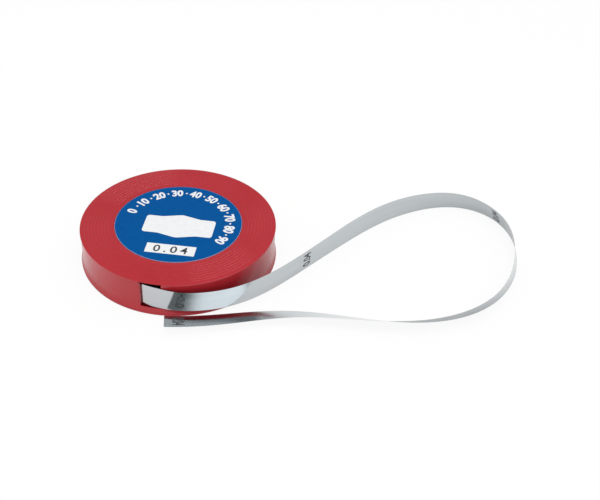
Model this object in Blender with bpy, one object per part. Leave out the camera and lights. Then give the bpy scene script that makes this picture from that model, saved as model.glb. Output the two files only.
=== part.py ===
"""Roll of thin steel feeler tape in a round plastic dispenser, with half a metre of the tape drawn out.

Metres, +Z up. The origin is the centre of the dispenser's underside, on the table. +X is the
direction in which the tape is drawn out, and -Y is the side with the exit window.
"""

import math

import bmesh
import bpy
import numpy as np
from mathutils import Vector

# Dispenser
CASE_RADIUS = 0.0535
RIM_OVERHANG = 0.0004
RIM_HEIGHT = 0.001
RIM_ROUNDING = 0.0003
WALL_THICKNESS = 0.0012
TOP_THICKNESS = 0.001
HEAD_ROOM = 0.0019
FOOT_OVERHANG = 0.0009
FOOT_CHAMFER = 0.0003
PLATE_THICKNESS = 0.0018
LEDGE_WIDTH = 0.005
LEDGE_HEIGHT = 0.003
WINDOW_LIP = 0.0004

# Fine grooves turned into the top, round the label
GROOVE_COUNT = 8
GROOVE_WIDTH = 0.0004
GROOVE_DEPTH = 0.0001
GROOVES_FROM_LABEL = 0.0032
GROOVES_FROM_RIM = 0.00245

# Label, let into the top
LABEL_RADIUS = 0.0348
LABEL_THICKNESS = 0.0001
LABEL_SEAT_DEPTH = 0.0003

# Steel tape
TAPE_WIDTH = 0.013
TAPE_THICKNESS = 0.00004
TAPE_LENGTH = 5.0
FREE_LENGTH = 0.520
COIL_PLAY = 0.0017
COIL_EXIT_ANGLE = math.radians(-120)
LANDING_DISTANCE = 0.170
END_RISE = 0.003
RISE_LENGTH = 0.060

CLEARANCE = 0.0003
CUT_MARGIN = 0.001
ROUND_SEGMENTS = 120
TAPE_RIBS = 300
TAPE_STRIPS = 2

# The drawn-out tape's course from where it leaves the coil: the distance along it, how far
# it has turned left by then, and how far its top edge tips to its right, in degrees.
# By the case, the distances are in case radii.
EXIT_COURSE = (
    (0.00, 0, 0),
    (0.25, 6.5, 0),
    (0.45, 18, 0),
    (0.65, 34, 3.5),
    (0.90, 46, 4.5),
    (1.25, 63.5, 4),
)
# Beyond the window the tape sinks to the table; it is past the window at this many case radii.
# Its free end springs up a little again.
WINDOW_DISTANCE = 0.45
# In the loop, they are shares of the length that is left.
LOOP_COURSE = (
    (0.06, 78, 4),
    (0.14, 80, 2),
    (0.22, 75, -2),
    (0.29, 60, 3),
    (0.35, 34, 13),
    (0.41, -16, 21),
    (0.47, -52, 17),
    (0.54, -80, 9),
    (0.62, -113, -19),
    (0.71, -146, -40),
    (0.82, -156, -59),
    (0.92, -135, -71),
    (1.00, -143, -74),
)

# Heights, from the table up
COIL_BOTTOM = PLATE_THICKNESS + LEDGE_HEIGHT + CLEARANCE
COIL_TOP = COIL_BOTTOM + TAPE_WIDTH
TOP_UNDERSIDE = COIL_TOP + HEAD_ROOM
CASE_HEIGHT = TOP_UNDERSIDE + TOP_THICKNESS
WINDOW_SILL = PLATE_THICKNESS + LEDGE_HEIGHT
COVER_FOOT = PLATE_THICKNESS + CLEARANCE

# Radii
WALL_RADIUS = CASE_RADIUS - RIM_OVERHANG
INNER_RADIUS = WALL_RADIUS - WALL_THICKNESS
COIL_RADIUS = INNER_RADIUS - COIL_PLAY
FOOT_RADIUS = WALL_RADIUS + FOOT_OVERHANG
LEDGE_RADIUS = INNER_RADIUS - CLEARANCE
LABEL_SEAT_RADIUS = LABEL_RADIUS + CLEARANCE


def clear_scene():
    for old in list(bpy.data.objects):
        bpy.data.objects.remove(old, do_unlink=True)


def make_material(name, colour, roughness, metallic=0.0):
    material = bpy.data.materials.new(name)
    material.use_nodes = True
    shader = material.node_tree.nodes["Principled BSDF"]
    shader.inputs["Base Color"].default_value = (*colour, 1.0)
    shader.inputs["Roughness"].default_value = roughness
    shader.inputs["Metallic"].default_value = metallic
    return material


def add_object(name, bm, material):
    bmesh.ops.recalc_face_normals(bm, faces=bm.faces)
    mesh = bpy.data.meshes.new(name)
    bm.to_mesh(mesh)
    bm.free()
    mesh.shade_smooth()
    mesh.set_sharp_from_angle(angle=math.radians(30))
    piece = bpy.data.objects.new(name, mesh)
    bpy.context.collection.objects.link(piece)
    if material:
        mesh.materials.append(material)
    return piece


def turned(outline):
    """A bmesh turned about Z from a closed outline of (radius, height) points; the axis may be on it."""
    bm = bmesh.new()
    turns = [2 * math.pi * i / ROUND_SEGMENTS for i in range(ROUND_SEGMENTS)]
    rings = []
    for radius, height in outline:
        stops = turns if radius else [0]
        rings.append([bm.verts.new((radius * math.cos(a), radius * math.sin(a), height)) for a in stops])
    for ring, following in zip(rings, rings[1:] + rings[:1]):
        if len(ring) == len(following) == 1:
            continue
        for i in range(ROUND_SEGMENTS):
            here = [ring[i % len(ring)], ring[(i + 1) % len(ring)]]
            there = [following[(i + 1) % len(following)], following[i % len(following)]]
            bm.faces.new(list(dict.fromkeys(here + there)))
    return bm


def window_angles(tape_foot):
    """Where the tape's lower edge meets the inside of the wall, and where it is clear of the outside."""
    radius = np.hypot(tape_foot[:, 0], tape_foot[:, 1])
    outside = WALL_RADIUS + CLEARANCE
    crossing = int(np.argmax(radius > outside)) + 1
    angle = np.arctan2(tape_foot[:crossing, 1], tape_foot[:crossing, 0])
    return np.interp((INNER_RADIUS - CLEARANCE, outside), radius[:crossing], angle)


def window_cutter(tape_foot):
    """A block across the wall where the tape passes through it, from its sill up to the top's thin lip."""
    left, right = window_angles(tape_foot)
    middle = (left + right) / 2
    width = 2 * WALL_RADIUS * math.sin((right - left) / 2)
    height = CASE_HEIGHT - WINDOW_LIP - WINDOW_SILL
    depth = CASE_RADIUS - INNER_RADIUS + 2 * CUT_MARGIN
    bm = bmesh.new()
    bmesh.ops.create_cube(bm, size=1)
    bmesh.ops.scale(bm, vec=(depth, width, height), verts=bm.verts)
    cutter = add_object("window_cutter", bm, None)
    reach = (INNER_RADIUS + CASE_RADIUS) / 2
    cutter.location = (reach * math.cos(middle), reach * math.sin(middle), WINDOW_SILL + height / 2)
    cutter.rotation_euler = (0, 0, middle)
    cutter.hide_render = True
    cutter.display_type = "WIRE"
    return cutter


def groove_points():
    """The outline of the grooves in the top, from the rim inwards."""
    points = []
    inner = LABEL_SEAT_RADIUS + GROOVES_FROM_LABEL
    outer = CASE_RADIUS - GROOVES_FROM_RIM
    for radius in np.linspace(outer, inner, GROOVE_COUNT):
        points += [
            (radius + GROOVE_WIDTH / 2, CASE_HEIGHT),
            (radius, CASE_HEIGHT - GROOVE_DEPTH),
            (radius - GROOVE_WIDTH / 2, CASE_HEIGHT),
        ]
    return points


def make_cover(red, tape_foot):
    """Top with a narrow rim and side wall in one moulding, open below, with the grooves and the window."""
    seat = CASE_HEIGHT - LABEL_SEAT_DEPTH
    under_rim = CASE_HEIGHT - RIM_HEIGHT
    outline = [
        (0, TOP_UNDERSIDE),
        (INNER_RADIUS, TOP_UNDERSIDE),
        (INNER_RADIUS, COVER_FOOT),
        (WALL_RADIUS, COVER_FOOT),
        (WALL_RADIUS, under_rim),
        (CASE_RADIUS, under_rim),
        (CASE_RADIUS, CASE_HEIGHT - RIM_ROUNDING),
        (CASE_RADIUS - RIM_ROUNDING, CASE_HEIGHT),
        *groove_points(),
        (LABEL_SEAT_RADIUS, CASE_HEIGHT),
        (LABEL_SEAT_RADIUS, seat),
        (0, seat),
    ]
    cover = add_object("case_cover", turned(outline), red)
    cut = cover.modifiers.new("exit window", "BOOLEAN")
    cut.operation = "DIFFERENCE"
    cut.solver = "EXACT"
    cut.object = window_cutter(tape_foot)
    return cover


def make_base_plate(red):
    """The disc under the cover, its edge standing out as a foot, with the ledge that carries the coil."""
    ledge_inside = LEDGE_RADIUS - LEDGE_WIDTH
    outline = [
        (0, 0),
        (FOOT_RADIUS - FOOT_CHAMFER, 0),
        (FOOT_RADIUS, FOOT_CHAMFER),
        (FOOT_RADIUS, PLATE_THICKNESS),
        (LEDGE_RADIUS, PLATE_THICKNESS),
        (LEDGE_RADIUS, WINDOW_SILL),
        (ledge_inside, WINDOW_SILL),
        (ledge_inside, PLATE_THICKNESS),
        (0, PLATE_THICKNESS),
    ]
    return add_object("base_plate", turned(outline), red)


def make_label(blue):
    bottom = CASE_HEIGHT - LABEL_SEAT_DEPTH + CLEARANCE
    top = bottom + LABEL_THICKNESS
    outline = [(0, bottom), (LABEL_RADIUS, bottom), (LABEL_RADIUS, top), (0, top)]
    return add_object("label", turned(outline), blue)


def make_coil(steel):
    """The wound tape, springing outwards: its end face has the area of the wound length on edge."""
    end_area = (TAPE_LENGTH - FREE_LENGTH) * TAPE_THICKNESS
    bore = math.sqrt(COIL_RADIUS ** 2 - end_area / math.pi)
    outline = [(bore, COIL_BOTTOM), (COIL_RADIUS, COIL_BOTTOM), (COIL_RADIUS, COIL_TOP), (bore, COIL_TOP)]
    return add_object("tape_coil", turned(outline), steel)


def smooth_curve(places, values):
    """The natural cubic spline through values at places, as a function of place."""
    places = np.asarray(places, float)
    values = np.asarray(values, float)
    steps = np.diff(places)
    slopes = np.diff(values) / steps
    inner = len(places) - 2
    system = np.zeros((inner, inner))
    for i in range(inner):
        system[i, i] = 2 * (steps[i] + steps[i + 1])
        if i > 0:
            system[i, i - 1] = steps[i]
        if i < inner - 1:
            system[i, i + 1] = steps[i + 1]
    bends = np.zeros(len(places))
    bends[1:-1] = np.linalg.solve(system, 6 * np.diff(slopes))

    def value_at(place):
        i = np.clip(np.searchsorted(places, place) - 1, 0, len(steps) - 1)
        before = place - places[i]
        after = places[i + 1] - place
        straight = (values[i] * after + values[i + 1] * before) / steps[i]
        bow_before = bends[i] * (after ** 3 / steps[i] - after * steps[i])
        bow_after = bends[i + 1] * (before ** 3 / steps[i] - before * steps[i])
        return straight + (bow_before + bow_after) / 6

    return value_at


def tape_edges():
    """The drawn-out tape's lower and upper edge and its face normal, at each rib along it."""
    exit_length = EXIT_COURSE[-1][0] * CASE_RADIUS
    loop_length = FREE_LENGTH - exit_length
    places = [share * CASE_RADIUS for share, _, _ in EXIT_COURSE]
    places += [exit_length + share * loop_length for share, _, _ in LOOP_COURSE]
    turns = [turn for _, turn, _ in EXIT_COURSE + LOOP_COURSE]
    tips = [tip for _, _, tip in EXIT_COURSE + LOOP_COURSE]

    along = np.linspace(0, FREE_LENGTH, TAPE_RIBS + 1)
    heading = COIL_EXIT_ANGLE + math.pi / 2 + np.radians(smooth_curve(places, turns)(along))
    tip = np.radians(smooth_curve(places, tips)(along))
    step = FREE_LENGTH / TAPE_RIBS
    middle_heading = (heading[1:] + heading[:-1]) / 2
    start_radius = COIL_RADIUS + CLEARANCE + TAPE_THICKNESS / 2
    x = start_radius * math.cos(COIL_EXIT_ANGLE) + np.append(0, np.cumsum(step * np.cos(middle_heading)))
    y = start_radius * math.sin(COIL_EXIT_ANGLE) + np.append(0, np.cumsum(step * np.sin(middle_heading)))
    window_distance = WINDOW_DISTANCE * CASE_RADIUS
    fallen = np.clip((along - window_distance) / (LANDING_DISTANCE - window_distance), 0, 1)
    risen = np.clip(1 - (FREE_LENGTH - along) / RISE_LENGTH, 0, 1)
    z = TAPE_THICKNESS / 2 + (COIL_BOTTOM - TAPE_THICKNESS / 2) * (1 - fallen) ** 1.5 + END_RISE * risen ** 2

    forward = np.stack([np.cos(heading), np.sin(heading), 0 * heading], -1)
    right = np.stack([np.sin(heading), -np.cos(heading), 0 * heading], -1)
    upright = np.array([0, 0, 1.0])
    across = np.cos(tip)[:, None] * upright + np.sin(tip)[:, None] * right
    lower = np.stack([x, y, z], -1)
    return lower, lower + TAPE_WIDTH * across, np.cross(forward, across)


def make_free_tape(steel, lower, upper, normal):
    """The drawn-out tape as one thin closed strip, with the same diagonals on both faces."""
    shares = np.linspace(0, 1, TAPE_STRIPS + 1)
    bm = bmesh.new()
    faces = []
    for side in (0.5, -0.5):
        offset = side * TAPE_THICKNESS * normal
        grid = [[bm.verts.new(Vector(lo + share * (up - lo) + push)) for share in shares]
                for lo, up, push in zip(lower, upper, offset)]
        faces.append(grid)
        for row, following in zip(grid, grid[1:]):
            for i in range(TAPE_STRIPS):
                bm.faces.new((row[i], following[i], following[i + 1]))
                bm.faces.new((row[i], following[i + 1], row[i + 1]))
    front, back = faces
    for edge in (0, TAPE_STRIPS):
        for i in range(TAPE_RIBS):
            bm.faces.new((front[i][edge], front[i + 1][edge], back[i + 1][edge], back[i][edge]))
    for end in (0, TAPE_RIBS):
        for i in range(TAPE_STRIPS):
            bm.faces.new((front[end][i], front[end][i + 1], back[end][i + 1], back[end][i]))
    return add_object("free_tape", bm, steel)


def main():
    clear_scene()
    red = make_material("red plastic", (0.43, 0.027, 0.036), 0.3)
    blue = make_material("blue label", (0.01, 0.085, 0.28), 0.45)
    steel = make_material("bright spring steel", (0.53, 0.56, 0.575), 0.18, metallic=1.0)
    lower, upper, normal = tape_edges()
    make_cover(red, lower)
    make_base_plate(red)
    make_label(blue)
    make_coil(steel)
    make_free_tape(steel, lower, upper, normal)


main()
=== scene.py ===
"""A roll of thin steel feeler tape in its red dispenser, with half a metre of it drawn out."""
import math

import bmesh
import bpy
import numpy as np
from mathutils import Matrix, Vector


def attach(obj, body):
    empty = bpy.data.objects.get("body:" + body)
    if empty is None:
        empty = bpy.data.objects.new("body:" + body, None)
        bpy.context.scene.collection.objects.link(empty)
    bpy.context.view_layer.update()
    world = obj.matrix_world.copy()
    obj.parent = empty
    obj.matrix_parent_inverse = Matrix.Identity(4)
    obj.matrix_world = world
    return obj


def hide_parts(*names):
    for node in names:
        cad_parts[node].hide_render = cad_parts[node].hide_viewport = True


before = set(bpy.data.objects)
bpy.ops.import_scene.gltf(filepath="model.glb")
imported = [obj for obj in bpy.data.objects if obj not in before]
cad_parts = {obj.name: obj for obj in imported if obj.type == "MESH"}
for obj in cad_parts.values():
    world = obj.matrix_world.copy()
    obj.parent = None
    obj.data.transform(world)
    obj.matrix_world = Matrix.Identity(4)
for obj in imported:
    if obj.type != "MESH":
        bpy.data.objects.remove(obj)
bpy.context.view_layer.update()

MM = 0.001

# The dispenser: as in the solids, but for the cover's foot and flare, the grooves and the ledge
CASE_RADIUS = 53.5 * MM
CASE_HEIGHT = 21.0 * MM
RIM_HEIGHT = 1.0 * MM
WALL_RADIUS = 53.1 * MM
INNER_RADIUS = 51.9 * MM
TOP_UNDERSIDE = 20.0 * MM
COVER_FOOT = 1.84 * MM
FLARE_RADIUS = 53.95 * MM
FLARE_HEIGHT = 3.9 * MM
FLARE_BEND = 9.0 * MM
FOOT_RADIUS = 54.0 * MM
FOOT_BEND = 1.2 * MM
PLATE_THICKNESS = 1.8 * MM
LEDGE_RADIUS = 50.4 * MM
LEDGE_WIDTH = 3.8 * MM
LEDGE_TOP = 4.8 * MM
GROOVE_RADII = np.linspace(38.3 * MM, 51.05 * MM, 8)
GROOVE_WIDTH = 0.46 * MM
GROOVE_BED_WIDTH = GROOVE_WIDTH / 20
GROOVE_DEPTH = 0.118 * MM

# The exit window in the wall, with a sill that falls inwards
WINDOW_LEFT = math.radians(-105.2)
WINDOW_RIGHT = math.radians(-92.8)
WINDOW_HEAD = 20.6 * MM
WINDOW_SILL = 4.75 * MM
SILL_SLOPE = 1.6 * MM
WINDOW_LIP = 0.15 * MM
WINDOW_COLUMNS = 25

# The label: paper, light print on it, and dark print on that
LABEL_SEAT_RADIUS = 35.1 * MM
LABEL_SEAT = 20.7 * MM
LABEL_RADIUS = 34.8 * MM
LABEL_EDGE_WIDTH = 0.16 * MM
LABEL_BOTTOM = LABEL_SEAT + 0.05 * MM
LABEL_TOP = 21.1 * MM
PAPER_TOP = LABEL_TOP - 0.04 * MM
PRINT_TOP = LABEL_TOP - 0.02 * MM
# The plate and the figures' box are turned this far round the label's middle
PRINT_TURN = math.radians(-5)
PLATE_CENTRE = (0.9 * MM, -3.1 * MM)
BOX_CENTRE = (0.75 * MM, -24.05 * MM)
BOX_SIZE = (26.7 * MM, 8.0 * MM)
BOX_CORNER = 0.2 * MM
# The scale of tens, with its first and last angle, and the dots between them
SCALE_FIGURES = 10
SCALE_RADIUS = 28.3 * MM
SCALE_ANGLES = (162, -29)
SCALE_NARROWING = 0.86
DOT_WIDTH = 1.2 * MM
DOT_CORNER = 0.59 * MM

# The tape
TAPE_WIDTH = 13.0 * MM
TAPE_THICKNESS = 0.04 * MM
TAPE_LENGTH = 5.0
FREE_LENGTH = 0.520
COIL_BOTTOM = 5.1 * MM
COIL_RADIUS = 50.2 * MM
COIL_MEAN_RADIUS = COIL_RADIUS - 0.3 * MM
COIL_GAP = 0.3 * MM
COIL_EXIT_ANGLE = math.radians(-120)
COIL_RELEASE = math.radians(80)
# The turns are shown thinner than they are, so that they stay apart
SHOWN_TURN_THICKNESS = 0.7 * TAPE_THICKNESS
LANDING_DISTANCE = 0.170
WINDOW_DISTANCE = 0.45
END_RISE = 3.0 * MM
RISE_LENGTH = 0.060
# Places along the tape, each with its heading and its tip in degrees: up to the loop in case
# radii, then in shares of the rest
EXIT_COURSE = (
    (0.00, 0, 0), (0.25, 6.5, 0), (0.45, 18, 0), (0.65, 34, 3.5), (0.90, 46, 4.5), (1.25, 63.5, 4),
)
LOOP_COURSE = (
    (0.06, 78, 4), (0.14, 80, 2), (0.22, 75, -2), (0.29, 60, 3.7), (0.35, 35, 14.2),
    (0.41, -15, 23.8), (0.47, -53, 19.7), (0.54, -78.9, 9.3), (0.62, -112.5, -19.9),
    (0.71, -146.8, -43.2), (0.82, -154.5, -58.9), (0.92, -136.2, -71.1), (1.00, -142.5, -74),
)

# The figures on the tape: their distances along it, their reach across it, the places of the cuts
# that let them bend with it, and how far their back and their face lie off the steel
MARK_PLACES = (0.115, 0.259, 0.388, 0.513)
MARK_LENGTH = 9.0 * MM
MARK_CUTS = np.linspace(-3.6 * MM, 3.6 * MM, 25)
MARK_BACK = 0.001 * MM
MARK_FACE = 0.012 * MM

# Fineness of the shown meshes
SHARP_FROM = math.radians(20)
TURNING_STEPS = 320
TAPE_STEPS = 1100
TAPE_STRIPS = 6
COIL_STEPS_PER_TURN = 120

# Noise values run mostly within these two
NOISE_LOW = 0.3
NOISE_HIGH = 0.7

# The floor, and the shares of its own glow that the camera and the steel see
FLOOR_RADIUS = 6.0
FLOOR_DROP = 0.02 * MM
FLOOR_PAINT = 0.97
GLOW_SEEN = 0.9
GLOW_MIRRORED = 0.28

# The room: the strength of its light, and how its mirror image dims towards one side
ROOM_LIGHT = 0.75
DIM_SIDE = (0.25, 0.30, 0.92)
DIM_FROM = 0.92
DIM_TO = 0.30
DIM_REACH = 0.75
# The long light panel that the steel mirrors: its middle and its run as directions, then half its
# length, half its width and its soft edge as parts of a unit direction
PANEL_CENTRE = (0.42, 0.14, 0.90)
PANEL_ALONG = (0.573, 0.697, -0.433)
PANEL_HALF_LENGTH = 0.36
PANEL_HALF_WIDTH = 0.26
PANEL_EDGE = 0.16
PANEL_STRENGTH = 1.9

SOFTBOX_TARGET = (0.05, 0, 0)
SOFTBOX_DIRECTION = (0.02, -0.19, 0.98)
SOFTBOX_DISTANCE = 1.0
SOFTBOX_WIDTH = 0.6
SOFTBOX_POWER = 3.45

CAMERA_PLACE = (0.06737, -0.44369, 0.35213)
CAMERA_RIGHT = (0.99870401, 0.03128385, 0.04014498)
CAMERA_UP = (-0.05089497, 0.61387803, 0.7877585)
CAMERA_BACK = (0, -0.78878076, 0.61467465)
FOCAL_LENGTH = 60.43
SENSOR_WIDTH = 36.0
NEAREST_SEEN = 0.01


# Nodes

def set_inputs(tree, node, inputs):
    """Gives the node's inputs their numbers or colours, or links them to sockets."""
    for key, value in inputs.items():
        if isinstance(value, bpy.types.NodeSocket):
            tree.links.new(value, node.inputs[key])
        else:
            node.inputs[key].default_value = value


def add_node(tree, kind, inputs=None, **settings):
    node = tree.nodes.new(kind)
    for setting, value in settings.items():
        setattr(node, setting, value)
    set_inputs(tree, node, inputs or {})
    return node


def arithmetic(tree, operation, *values):
    """The result of a math node on sockets and numbers."""
    return add_node(tree, "ShaderNodeMath", dict(enumerate(values)), operation=operation).outputs[0]


def mapped_noise(tree, coordinates, scale, detail, stretch=(1, 1, 1)):
    """A noise texture's value, on the named coordinates stretched by the three factors."""
    source = add_node(tree, "ShaderNodeTexCoord").outputs[coordinates]
    mapping = add_node(tree, "ShaderNodeMapping", {"Vector": source, "Scale": stretch})
    noise = {"Vector": mapping.outputs["Vector"], "Scale": scale, "Detail": detail}
    return add_node(tree, "ShaderNodeTexNoise", noise).outputs["Fac"]


def spread(tree, value, low, high):
    """Maps a noise value to the range from low to high."""
    ends = {"From Min": NOISE_LOW, "From Max": NOISE_HIGH, "To Min": low, "To Max": high}
    return add_node(tree, "ShaderNodeMapRange", {"Value": value, **ends}).outputs["Result"]


def two_tone(tree, value, first, second, start=NOISE_LOW, end=NOISE_HIGH):
    """A colour between two, as the value runs from start to end."""
    ramp = add_node(tree, "ShaderNodeValToRGB", {"Fac": value})
    stops = ramp.color_ramp.elements
    stops[0].position = start
    stops[0].color = (*first, 1)
    stops[1].position = end
    stops[1].color = (*second, 1)
    return ramp.outputs["Color"]


def bump(tree, height, distance, below=None):
    """The normal of a fine relief, laid over the normal of another one where that is given."""
    inputs = {"Height": height, "Distance": distance}
    if below:
        inputs["Normal"] = below
    return add_node(tree, "ShaderNodeBump", inputs).outputs["Normal"]


def mix_shaders(tree, share, first, second):
    """A mix of two shader nodes; the share is the second one's."""
    inputs = {0: share, 1: first.outputs[0], 2: second.outputs[0]}
    return add_node(tree, "ShaderNodeMixShader", inputs)


# Materials

def new_material(name):
    material = bpy.data.materials.new(name)
    material.use_nodes = True
    tree = material.node_tree
    return material, tree, tree.nodes["Principled BSDF"]


def make_plastic():
    """Moulded red plastic: an even colour with faint flow clouds, a silky skin and dull patches."""
    material, tree, shader = new_material("red moulded plastic")
    clouds = mapped_noise(tree, "Object", scale=38, detail=4.0)
    wear = mapped_noise(tree, "Object", scale=160, detail=5.0)
    skin = mapped_noise(tree, "Object", scale=2600, detail=2.0)
    set_inputs(tree, shader, {
        "Base Color": two_tone(tree, clouds, (0.443, 0.021, 0.030), (0.472, 0.025, 0.036)),
        "Roughness": spread(tree, wear, 0.12, 0.18),
        "Specular IOR Level": 0.42,
        "Normal": bump(tree, skin, 0.004 * MM),
    })
    return material


def make_label_material(name, first, second, roughness):
    """Printed label stock: ink with a faint mottle on a fine, slightly uneven face."""
    material, tree, shader = new_material(name)
    mottle = mapped_noise(tree, "Object", scale=420, detail=4.0)
    fibres = mapped_noise(tree, "Object", scale=3200, detail=3.0)
    set_inputs(tree, shader, {
        "Base Color": two_tone(tree, mottle, first, second),
        "Roughness": spread(tree, mottle, roughness - 0.04, roughness + 0.06),
        "Specular IOR Level": 0.02,
        "Normal": bump(tree, fibres, 0.003 * MM),
    })
    return material


def make_steel():
    """Bright rolled steel: fine roll lines along it, slight waves and a slightly uneven polish."""
    material, tree, shader = new_material("rolled spring steel")
    polish = mapped_noise(tree, "UV", scale=1.0, detail=3.0, stretch=(22, 260, 1))
    lines = mapped_noise(tree, "UV", scale=1.0, detail=2.0, stretch=(30, 5200, 1))
    waves = mapped_noise(tree, "UV", scale=1.0, detail=1.0, stretch=(24, 90, 1))
    set_inputs(tree, shader, {
        "Base Color": two_tone(tree, polish, (0.525, 0.56, 0.58), (0.57, 0.60, 0.615)),
        "Metallic": 1.0,
        "Roughness": spread(tree, polish, 0.11, 0.17),
        "Normal": bump(tree, waves, 0.05 * MM, below=bump(tree, lines, 0.0009 * MM)),
    })
    return material


def make_ink(name, first, second):
    material, tree, shader = new_material(name)
    patches = mapped_noise(tree, "Object", scale=900, detail=3.0)
    set_inputs(tree, shader, {
        "Base Color": two_tone(tree, patches, first, second),
        "Roughness": spread(tree, patches, 0.42, 0.6),
    })
    return material


# Mesh making

def new_object(name, data):
    thing = bpy.data.objects.new(name, data)
    bpy.context.collection.objects.link(thing)
    return thing


def mesh_object(name, bm):
    """The bmesh as an object, with its faces turned outwards."""
    bmesh.ops.recalc_face_normals(bm, faces=bm.faces)
    mesh = bpy.data.meshes.new(name)
    bm.to_mesh(mesh)
    bm.free()
    return new_object(name, mesh)


def shade(mesh):
    """Smooth shading, with sharp edges where the faces turn by more than a little."""
    mesh.shade_smooth()
    mesh.set_sharp_from_angle(angle=SHARP_FROM)


def evaluated_mesh(thing):
    """A new mesh with the object's modifiers or its curve worked out."""
    bpy.context.view_layer.update()
    depsgraph = bpy.context.evaluated_depsgraph_get()
    return bpy.data.meshes.new_from_object(thing.evaluated_get(depsgraph))


def add_piece(name, bm, material, slot, *nodes):
    """Links the mesh as a piece that rides on the frame, and shows in place of the named nodes."""
    piece = mesh_object(name, bm)
    shade(piece.data)
    piece.data.materials.append(material)
    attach(piece, "root")
    if nodes:
        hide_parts(*nodes)
    return piece


def rounded(outline, steps=5):
    """The closed outline of corners (x or radius, y or height, rounding), with arcs for corners."""
    corners = [np.array(corner[:2], float) for corner in outline]
    points = []
    for i, corner in enumerate(corners):
        size = outline[i][2]
        if not size:
            points.append(tuple(corner))
            continue
        back = corners[i - 1] - corner
        ahead = corners[(i + 1) % len(corners)] - corner
        back /= np.linalg.norm(back)
        ahead /= np.linalg.norm(ahead)
        half = math.acos(np.clip(back @ ahead, -1, 1)) / 2
        middle = back + ahead
        centre = corner + middle / np.linalg.norm(middle) * size / math.sin(half)
        first = corner + back * size / math.tan(half) - centre
        last = corner + ahead * size / math.tan(half) - centre
        start = math.atan2(first[1], first[0])
        turn = (math.atan2(last[1], last[0]) - start + math.pi) % (2 * math.pi) - math.pi
        for step in range(steps + 1):
            angle = start + turn * step / steps
            x, y = centre[0] + size * math.cos(angle), centre[1] + size * math.sin(angle)
            points.append((x, y))
    return points


def turned(outline):
    """A body turned about Z from a closed outline of (radius, height); it may touch the axis."""
    bm = bmesh.new()
    angles = [2 * math.pi * i / TURNING_STEPS for i in range(TURNING_STEPS)]
    rings = []
    for radius, height in outline:
        stops = angles if radius > 0 else [0]
        points = [(radius * math.cos(a), radius * math.sin(a), height) for a in stops]
        rings.append([bm.verts.new(point) for point in points])
    for ring, following in zip(rings, rings[1:] + rings[:1]):
        if len(ring) == len(following) == 1:
            continue
        for i in range(TURNING_STEPS):
            here = [ring[i % len(ring)], ring[(i + 1) % len(ring)]]
            there = [following[(i + 1) % len(following)], following[i % len(following)]]
            bm.faces.new(list(dict.fromkeys(here + there)))
    return bm


def swept(sections):
    """A closed body through sections of equally many points, and its rows of vertices."""
    bm = bmesh.new()
    rows = [[bm.verts.new(Vector(point)) for point in section] for section in sections]
    count = len(rows[0])
    for row, following in zip(rows, rows[1:]):
        for i in range(count):
            j = (i + 1) % count
            bm.faces.new((row[i], following[i], following[j], row[j]))
    for row in (rows[0], rows[-1]):
        for i in range(count // 2 - 1):
            bm.faces.new((row[i], row[i + 1], row[count - 2 - i], row[count - 1 - i]))
    return bm, rows


# Dispenser

def groove_outline():
    """The turned grooves in the top, from the rim inwards: V-shaped, so that each side glints."""
    bed = CASE_HEIGHT - GROOVE_DEPTH
    points = []
    for radius in GROOVE_RADII[::-1]:
        points += [
            (radius + GROOVE_WIDTH / 2, CASE_HEIGHT), (radius + GROOVE_BED_WIDTH / 2, bed),
            (radius - GROOVE_BED_WIDTH / 2, bed), (radius - GROOVE_WIDTH / 2, CASE_HEIGHT),
        ]
    return points


def window_cutter():
    """The body that the window takes out: its lips widen outwards and its sill falls inwards."""
    past_wall = 2 * MM
    # Each layer's radius and how far it reaches past the window's sides
    layers = (
        (INNER_RADIUS - past_wall, 0), (INNER_RADIUS, 0), (WALL_RADIUS - WINDOW_LIP, 0),
        (WALL_RADIUS + WINDOW_LIP, 2 * WINDOW_LIP), (WALL_RADIUS + past_wall, 3 * WINDOW_LIP),
    )
    head_share = 0.3
    columns = np.linspace(WINDOW_LEFT, WINDOW_RIGHT, WINDOW_COLUMNS)
    middle = (WINDOW_LEFT + WINDOW_RIGHT) / 2
    bm = bmesh.new()
    grid = []
    for radius, flare in layers:
        stretch = 1 + 2 * flare / (WALL_RADIUS * (WINDOW_RIGHT - WINDOW_LEFT))
        angles = middle + (columns - middle) * stretch
        inwards = (WALL_RADIUS - radius) / (WALL_RADIUS - INNER_RADIUS)
        foot = WINDOW_SILL - flare - SILL_SLOPE * min(max(inwards, 0), 1)
        head = WINDOW_HEAD + flare * head_share
        grid.append([
            [bm.verts.new((radius * math.cos(a), radius * math.sin(a), z)) for a in angles]
            for z in (foot, head)
        ])
    last = WINDOW_COLUMNS - 1
    for near, far in zip(grid, grid[1:]):
        for i in range(last):
            bm.faces.new((near[0][i], near[0][i + 1], far[0][i + 1], far[0][i]))
            bm.faces.new((near[1][i], far[1][i], far[1][i + 1], near[1][i + 1]))
        for i in (0, last):
            bm.faces.new((near[0][i], far[0][i], far[1][i], near[1][i]))
    for foot_row, head_row in (grid[0], grid[-1]):
        for i in range(last):
            bm.faces.new((foot_row[i], foot_row[i + 1], head_row[i + 1], head_row[i]))
    return mesh_object("window_cutter", bm)


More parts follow.
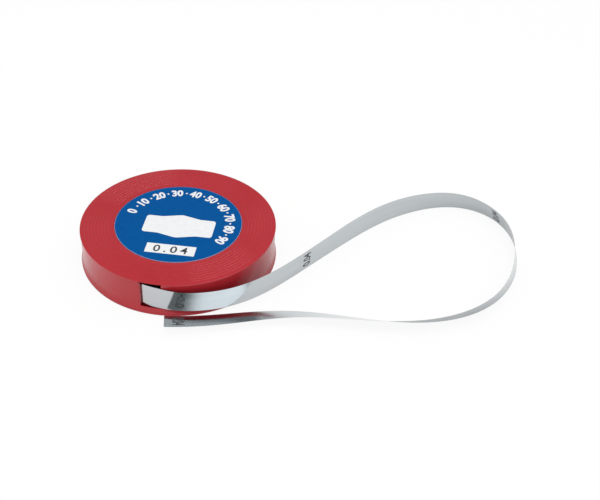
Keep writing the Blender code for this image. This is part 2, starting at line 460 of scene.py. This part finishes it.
def make_cover(plastic):
    """Top and wall in one moulding; the wall flares out to the foot, below the window."""
    outline = rounded([
        (INNER_RADIUS, TOP_UNDERSIDE, 0.0),
        (INNER_RADIUS, COVER_FOOT, 0.15 * MM),
        (FLARE_RADIUS, COVER_FOOT, 0.08 * MM),
        (WALL_RADIUS, FLARE_HEIGHT, FLARE_BEND),
        (WALL_RADIUS, CASE_HEIGHT - RIM_HEIGHT, 0.15 * MM),
        (CASE_RADIUS, CASE_HEIGHT - RIM_HEIGHT, 0.19 * MM),
        (CASE_RADIUS, CASE_HEIGHT, 0.4 * MM),
        (LABEL_SEAT_RADIUS, CASE_HEIGHT, 0.08 * MM),
        (LABEL_SEAT_RADIUS, LABEL_SEAT, 0.0),
        (0, LABEL_SEAT, 0.0),
        (0, TOP_UNDERSIDE, 0.0),
    ])
    rim = next(i for i, (radius, height) in enumerate(outline)
               if height >= CASE_HEIGHT - 1e-9 and radius < CASE_RADIUS)
    outline[rim + 1:rim + 1] = groove_outline()
    cover = add_piece("moulded_cover", turned(outline), plastic, "red_plastic", "case_cover")

    cutter = window_cutter()
    cut = cover.modifiers.new("window", "BOOLEAN")
    cut.operation = "DIFFERENCE"
    cut.solver = "EXACT"
    cut.object = cutter
    whole = evaluated_mesh(cover)
    cover.modifiers.clear()
    cover.data = whole
    cover.data.name = "moulded_cover"
    shade(cover.data)
    bpy.data.objects.remove(cutter)


def make_bottom(plastic):
    """The plate under the cover, with the ledge that carries the coil."""
    ledge_inside = LEDGE_RADIUS - LEDGE_WIDTH
    outline = rounded([
        (0, 0, 0.0),
        (FOOT_RADIUS, 0, FOOT_BEND),
        (FOOT_RADIUS, PLATE_THICKNESS, 0.12 * MM),
        (LEDGE_RADIUS, PLATE_THICKNESS, 0.1 * MM),
        (LEDGE_RADIUS, LEDGE_TOP, 0.15 * MM),
        (ledge_inside, LEDGE_TOP, 0.15 * MM),
        (ledge_inside, PLATE_THICKNESS, 0.3 * MM),
        (0, PLATE_THICKNESS, 0.0),
    ])
    add_piece("bottom_plate", turned(outline), plastic, "red_plastic", "base_plate")


# Label

def flat_shape(outline, bottom, top):
    """A flat closed body over an outline of (x, y) points."""
    bm = bmesh.new()
    lower = [bm.verts.new((x, y, bottom)) for x, y in outline]
    upper = [bm.verts.new((x, y, top)) for x, y in outline]
    bm.faces.new(lower)
    bm.faces.new(upper)
    for i in range(len(outline)):
        j = (i + 1) % len(outline)
        bm.faces.new((lower[i], lower[j], upper[j], upper[i]))
    return bm


def rectangle(width, height, corner, steps):
    """The outline of a rectangle with round corners, about the origin."""
    sides = ((-1, -1), (1, -1), (1, 1), (-1, 1))
    return rounded([(i * width / 2, j * height / 2, corner) for i, j in sides], steps)


def plate_outline():
    """The bare plate's outline: a rectangle with its long sides raised in the middle."""
    half_width, half_height = 19.3 * MM, 7.6 * MM
    rise, reach = 2.8 * MM, 10.5 * MM
    corner, bend = 1.8 * MM, 6.0 * MM
    upper = [
        (half_width, half_height, corner), (reach, half_height, bend),
        (0, half_height + rise, bend),
        (-reach, half_height, bend), (-half_width, half_height, corner),
    ]
    lower = [(-x, -y, size) for x, y, size in upper]
    return rounded(upper + lower, 6)


def on_label(x, y, centre):
    """A point's place on the label, from its place about a centre on the print."""
    x, y = x + centre[0], y + centre[1]
    cos, sin = math.cos(PRINT_TURN), math.sin(PRINT_TURN)
    return x * cos - y * sin, x * sin + y * cos


def printed(outline, centre):
    """A flat body of light print over an outline about a centre."""
    return flat_shape([on_label(x, y, centre) for x, y in outline], PAPER_TOP, PRINT_TOP)


def digits(text, size, bold, spacing=1.0):
    """The figures as a body of unit half thickness, centred on the origin, readable from +Z."""
    curve = bpy.data.curves.new("figures", "FONT")
    curve.body = text
    curve.size = size
    curve.space_character = spacing
    curve.offset = bold
    curve.extrude = 1.0
    curve.resolution_u = 4
    writing = new_object("figures", curve)
    mesh = evaluated_mesh(writing)
    bpy.data.objects.remove(writing)
    bm = bmesh.new()
    bm.from_mesh(mesh)
    bpy.data.meshes.remove(mesh)
    bmesh.ops.remove_doubles(bm, verts=bm.verts, dist=1e-7)
    corners = np.array([vert.co[:2] for vert in bm.verts])
    middle = (corners.min(0) + corners.max(0)) / 2
    for vert in bm.verts:
        vert.co.x -= middle[0]
        vert.co.y -= middle[1]
    return bm


def merge(parts):
    """One bmesh of several."""
    whole = bmesh.new()
    for part in parts:
        mesh = bpy.data.meshes.new("part")
        part.to_mesh(mesh)
        part.free()
        whole.from_mesh(mesh)
        bpy.data.meshes.remove(mesh)
    return whole


def scale_dot(angle):
    """A round dot on the scale's ring."""
    x, y = SCALE_RADIUS * math.cos(angle), SCALE_RADIUS * math.sin(angle)
    outline = rectangle(DOT_WIDTH, DOT_WIDTH, DOT_CORNER, 4)
    return flat_shape([(x + dx, y + dy) for dx, dy in outline], PAPER_TOP, PRINT_TOP)


def scale_figure(number, angle):
    """A number bent round the scale's ring."""
    figure = digits(str(number), size=7.6 * MM, bold=0.3 * MM)
    for vert in figure.verts:
        radius = SCALE_RADIUS + vert.co.y
        spot = angle - vert.co.x * SCALE_NARROWING / SCALE_RADIUS
        height = PRINT_TOP if vert.co.z > 0 else PAPER_TOP
        vert.co = (radius * math.cos(spot), radius * math.sin(spot), height)
    return figure


def make_label(blue, white, pale, dark):
    """The paper with its pale cut edge, a bare plate, a box with figures, and a scale of tens."""
    paper_radius = LABEL_RADIUS - LABEL_EDGE_WIDTH
    disc = [
        (0, LABEL_BOTTOM), (paper_radius, LABEL_BOTTOM),
        (paper_radius, PAPER_TOP), (0, PAPER_TOP),
    ]
    add_piece("printed_label", turned(disc), blue, "blue_label", "label")
    edge = rounded([
        (paper_radius, LABEL_BOTTOM, 0.0),
        (LABEL_RADIUS, LABEL_BOTTOM, 0.0),
        (LABEL_RADIUS, PAPER_TOP, 0.1 * MM),
        (paper_radius, PAPER_TOP, 0.0),
    ])
    add_piece("label_edge", turned(edge), pale, "blue_label")

    add_piece("label_plate", printed(plate_outline(), PLATE_CENTRE), white, "blue_label")
    box = printed(rectangle(*BOX_SIZE, BOX_CORNER, 8), BOX_CENTRE)
    add_piece("label_panel", box, white, "blue_label")
    number = digits("0.04", size=7.8 * MM, bold=0.12 * MM, spacing=1.45)
    for vert in number.verts:
        height = LABEL_TOP if vert.co.z > 0 else PRINT_TOP
        vert.co = (*on_label(vert.co.x, vert.co.y, BOX_CENTRE), height)
    add_piece("label_number", number, dark, "blue_label")

    angles = np.radians(np.linspace(*SCALE_ANGLES, 2 * SCALE_FIGURES - 1))
    marks = [
        scale_dot(angle) if i % 2 else scale_figure(5 * i, angle)
        for i, angle in enumerate(angles)
    ]
    add_piece("label_scale", merge(marks), white, "blue_label")


# Tape

def smooth_curve(places, values):
    """The natural cubic spline through values at places, as a function of place."""
    places = np.asarray(places, float)
    values = np.asarray(values, float)
    steps = np.diff(places)
    slopes = np.diff(values) / steps
    inner = len(places) - 2
    system = np.zeros((inner, inner))
    for i in range(inner):
        system[i, i] = 2 * (steps[i] + steps[i + 1])
        if i > 0:
            system[i, i - 1] = steps[i]
        if i < inner - 1:
            system[i, i + 1] = steps[i + 1]
    bends = np.zeros(len(places))
    bends[1:-1] = np.linalg.solve(system, 6 * np.diff(slopes))

    def value_at(place):
        i = np.clip(np.searchsorted(places, place) - 1, 0, len(steps) - 1)
        before = place - places[i]
        after = places[i + 1] - place
        straight = (values[i] * after + values[i + 1] * before) / steps[i]
        bow_before = bends[i] * (after ** 3 / steps[i] - after * steps[i])
        bow_after = bends[i + 1] * (before ** 3 / steps[i] - before * steps[i])
        return straight + (bow_before + bow_after) / 6

    return value_at


def tape_course(steps):
    """Distances along the drawn-out tape, and there its lower edge, its way up and its normal."""
    exit_length = EXIT_COURSE[-1][0] * CASE_RADIUS
    loop_length = FREE_LENGTH - exit_length
    places = [share * CASE_RADIUS for share, _, _ in EXIT_COURSE]
    places += [exit_length + share * loop_length for share, _, _ in LOOP_COURSE]
    turns = [turn for _, turn, _ in EXIT_COURSE + LOOP_COURSE]
    tips = [tip for _, _, tip in EXIT_COURSE + LOOP_COURSE]

    along = np.linspace(0, FREE_LENGTH, steps + 1)
    heading = COIL_EXIT_ANGLE + math.pi / 2 + np.radians(smooth_curve(places, turns)(along))
    tip = np.radians(smooth_curve(places, tips)(along))
    step = FREE_LENGTH / steps
    middle_heading = (heading[1:] + heading[:-1]) / 2
    start_radius = COIL_RADIUS + COIL_GAP + TAPE_THICKNESS / 2
    x, y = (
        start_radius * way(COIL_EXIT_ANGLE) + np.append(0, np.cumsum(step * way(middle_heading)))
        for way in (np.cos, np.sin)
    )
    window_distance = WINDOW_DISTANCE * CASE_RADIUS
    fallen = np.clip((along - window_distance) / (LANDING_DISTANCE - window_distance), 0, 1)
    z = TAPE_THICKNESS / 2 + (COIL_BOTTOM - TAPE_THICKNESS / 2) * (1 - fallen) ** 1.5
    risen = np.clip(1 - (FREE_LENGTH - along) / RISE_LENGTH, 0, 1)
    z += END_RISE * risen ** 2

    forward = np.stack([np.cos(heading), np.sin(heading), 0 * heading], -1)
    right = np.stack([np.sin(heading), -np.cos(heading), 0 * heading], -1)
    across = np.cos(tip)[:, None] * np.array([0, 0, 1.0]) + np.sin(tip)[:, None] * right
    return along, np.stack([x, y, z], -1), across, np.cross(forward, across)


def strip(along, lower, across, normal, thickness, strips):
    """A thin strip on edge as one closed body, with UVs in metres along and across it."""
    shares = np.linspace(0, 1, strips + 1)
    sections = []
    for start, direction, face in zip(lower, across, normal):
        push = face * thickness / 2
        front = [start + share * TAPE_WIDTH * direction + push for share in shares]
        back = [start + share * TAPE_WIDTH * direction - push for share in shares[::-1]]
        sections.append(front + back)
    bm, rows = swept(sections)
    layer = bm.loops.layers.uv.new("UVMap")
    places = {}
    for distance, row in zip(along, rows):
        for i, vert in enumerate(row):
            share = shares[i] if i <= strips else shares[2 * strips + 1 - i]
            places[vert] = (distance, share * TAPE_WIDTH)
    for face in bm.faces:
        for loop in face.loops:
            loop[layer].uv = places[loop.vert]
    return bm


def make_wound_tape(steel):
    """The turns that stay inside, as one spiral out to where the drawn-out length starts."""
    turns = (TAPE_LENGTH - FREE_LENGTH) / (2 * math.pi * COIL_MEAN_RADIUS)
    steps = int(turns * COIL_STEPS_PER_TURN)
    back = np.linspace(turns * 2 * math.pi, 0, steps + 1)
    leaving = np.clip(1 - back / COIL_RELEASE, 0, 1)
    radius = COIL_RADIUS - TAPE_THICKNESS / 2 - TAPE_THICKNESS * back / (2 * math.pi)
    radius += (COIL_GAP + TAPE_THICKNESS) * leaving ** 2 * (3 - 2 * leaving)
    angle = COIL_EXIT_ANGLE - back
    outward = np.stack([np.cos(angle), np.sin(angle), 0 * angle], -1)
    lower = radius[:, None] * outward + np.array([0, 0, COIL_BOTTOM])
    upright = np.repeat([[0, 0, 1.0]], steps + 1, 0)
    bm = strip(-back * COIL_RADIUS, lower, upright, outward, SHOWN_TURN_THICKNESS, 1)
    add_piece("wound_tape", bm, steel, "spring_steel", "tape_coil")


def make_tape_mark(name, place, ink, course):
    """The tape's thickness in plain figures, printed across its right face at a distance."""
    along, lower, across, normal = course
    bm = digits("0.04", size=8.2 * MM, bold=0.24 * MM)
    reach = max(vert.co.x for vert in bm.verts)
    for vert in bm.verts:
        vert.co.x *= MARK_LENGTH / 2 / reach
    for cut in MARK_CUTS:
        whole = bm.verts[:] + bm.edges[:] + bm.faces[:]
        bmesh.ops.bisect_plane(bm, geom=whole, plane_co=(0, cut, 0), plane_no=(0, 1, 0))

    def at(values, distance):
        return np.array([np.interp(distance, along, values[:, i]) for i in range(3)])

    for vert in bm.verts:
        distance = place - vert.co.y
        out = TAPE_THICKNESS / 2 + (MARK_FACE if vert.co.z > 0 else MARK_BACK)
        direction = at(across, distance)
        direction /= np.linalg.norm(direction)
        face = at(normal, distance)
        face /= np.linalg.norm(face)
        shift = (TAPE_WIDTH / 2 + vert.co.x) * direction + out * face
        vert.co = Vector(at(lower, distance) + shift)
    add_piece(name, bm, ink, "spring_steel")


def make_drawn_tape(steel, ink):
    course = tape_course(TAPE_STEPS)
    bm = strip(*course, TAPE_THICKNESS, TAPE_STRIPS)
    add_piece("drawn_out_tape", bm, steel, "spring_steel", "free_tape")
    for i, place in enumerate(MARK_PLACES):
        make_tape_mark(f"tape_mark_{i + 1}", place, ink, course)


# Studio

def make_floor():
    """A round white floor that takes shadows, and glows for the camera and less for the steel."""
    bm = bmesh.new()
    bmesh.ops.create_circle(bm, cap_ends=True, radius=FLOOR_RADIUS, segments=96)
    floor = mesh_object("floor", bm)
    floor.location.z = -FLOOR_DROP
    material, tree, _ = new_material("white floor")
    tree.nodes.clear()
    paint = add_node(tree, "ShaderNodeBsdfDiffuse", {"Color": (*[FLOOR_PAINT] * 3, 1)})
    glow = add_node(tree, "ShaderNodeEmission", {"Color": (1, 1, 1, 1), "Strength": 1.0})
    path = add_node(tree, "ShaderNodeLightPath")
    seen = arithmetic(tree, "MULTIPLY", path.outputs["Is Camera Ray"], GLOW_SEEN)
    share = arithmetic(tree, "MULTIPLY_ADD", path.outputs["Is Glossy Ray"], GLOW_MIRRORED, seen)
    mix = mix_shaders(tree, share, paint, glow)
    add_node(tree, "ShaderNodeOutputMaterial", {"Surface": mix.outputs[0]})
    floor.data.materials.append(material)


def direction_part(tree, direction, axis):
    """How far a direction socket points along an axis."""
    inputs = {0: direction, 1: Vector(axis).normalized()}
    return add_node(tree, "ShaderNodeVectorMath", inputs, operation="DOT_PRODUCT").outputs["Value"]


def light_panel(tree, direction):
    """A mask of 0 to 1 for the long light panel with soft edges in the sky."""
    middle = Vector(PANEL_CENTRE).normalized()
    side = middle.cross(Vector(PANEL_ALONG)).normalized()
    parts = []
    for axis, limit in ((side.cross(middle), PANEL_HALF_LENGTH), (side, PANEL_HALF_WIDTH)):
        reach = arithmetic(tree, "ABSOLUTE", direction_part(tree, direction, axis))
        inputs = {
            "Value": reach,
            "From Min": limit + PANEL_EDGE / 2,
            "From Max": limit - PANEL_EDGE / 2,
        }
        fade = add_node(tree, "ShaderNodeMapRange", inputs, interpolation_type="SMOOTHSTEP")
        parts.append(fade.outputs["Result"])
    front = arithmetic(tree, "GREATER_THAN", direction_part(tree, direction, middle), 0.0)
    return arithmetic(tree, "MULTIPLY", arithmetic(tree, "MULTIPLY", *parts), front)


def background(tree, strength):
    inputs = {"Color": (1, 1, 1, 1), "Strength": strength}
    return add_node(tree, "ShaderNodeBackground", inputs)


def make_world():
    """A white room for the camera; its mirror image dims upwards and has a long light panel."""
    world = bpy.data.worlds.new("studio")
    bpy.context.scene.world = world
    world.use_nodes = True
    tree = world.node_tree
    tree.nodes.clear()
    direction = add_node(tree, "ShaderNodeTexCoord").outputs["Generated"]
    upwards = direction_part(tree, direction, DIM_SIDE)
    dimming = two_tone(tree, upwards, [DIM_FROM] * 3, [DIM_TO] * 3, start=0.0, end=DIM_REACH)
    panel = light_panel(tree, direction)
    mirrored = background(tree, arithmetic(tree, "MULTIPLY_ADD", panel, PANEL_STRENGTH, dimming))
    light = background(tree, ROOM_LIGHT)
    seen = background(tree, 1.0)
    path = add_node(tree, "ShaderNodeLightPath")
    for_mirrors = mix_shaders(tree, path.outputs["Is Glossy Ray"], light, mirrored)
    for_camera = mix_shaders(tree, path.outputs["Is Camera Ray"], for_mirrors, seen)
    add_node(tree, "ShaderNodeOutputWorld", {"Surface": for_camera.outputs[0]})


def make_softbox():
    """A large soft light overhead, which only lights: the steel doesn't mirror it."""
    light = bpy.data.lights.new("overhead_softbox", "AREA")
    light.shape = "RECTANGLE"
    light.size = light.size_y = SOFTBOX_WIDTH
    light.energy = SOFTBOX_POWER
    lamp = new_object("overhead_softbox", light)
    towards = Vector(SOFTBOX_DIRECTION).normalized()
    lamp.location = Vector(SOFTBOX_TARGET) + towards * SOFTBOX_DISTANCE
    lamp.rotation_euler = towards.to_track_quat("Z", "Y").to_euler()
    lamp.visible_glossy = False


def make_camera():
    data = bpy.data.cameras.new("camera")
    data.lens = FOCAL_LENGTH
    data.sensor_width = SENSOR_WIDTH
    data.clip_start = NEAREST_SEEN
    camera = new_object("camera", data)
    turn = Matrix((CAMERA_RIGHT, CAMERA_UP, CAMERA_BACK)).transposed()
    camera.matrix_world = Matrix.Translation(CAMERA_PLACE) @ turn.to_4x4()
    bpy.context.scene.camera = camera


def main():
    bpy.context.scene.view_settings.view_transform = "Standard"
    make_camera()
    make_world()
    make_floor()
    make_softbox()

    plastic = make_plastic()
    blue = make_label_material(
        "blue label print", (0.0005, 0.082, 0.29), (0.0015, 0.092, 0.32), 0.42)
    white = make_label_material("white label stock", (0.80, 0.81, 0.82), (0.86, 0.87, 0.88), 0.5)
    pale = make_label_material("pale label edge", (0.33, 0.38, 0.58), (0.37, 0.42, 0.62), 0.5)
    dark = make_ink("dark printing ink", (0.03, 0.03, 0.035), (0.06, 0.06, 0.065))
    grey = make_ink("grey marking ink", (0.035, 0.04, 0.045), (0.10, 0.11, 0.12))
    steel = make_steel()

    make_cover(plastic)
    make_bottom(plastic)
    make_label(blue, white, pale, dark)
    make_wound_tape(steel)
    make_drawn_tape(steel, grey)


main()
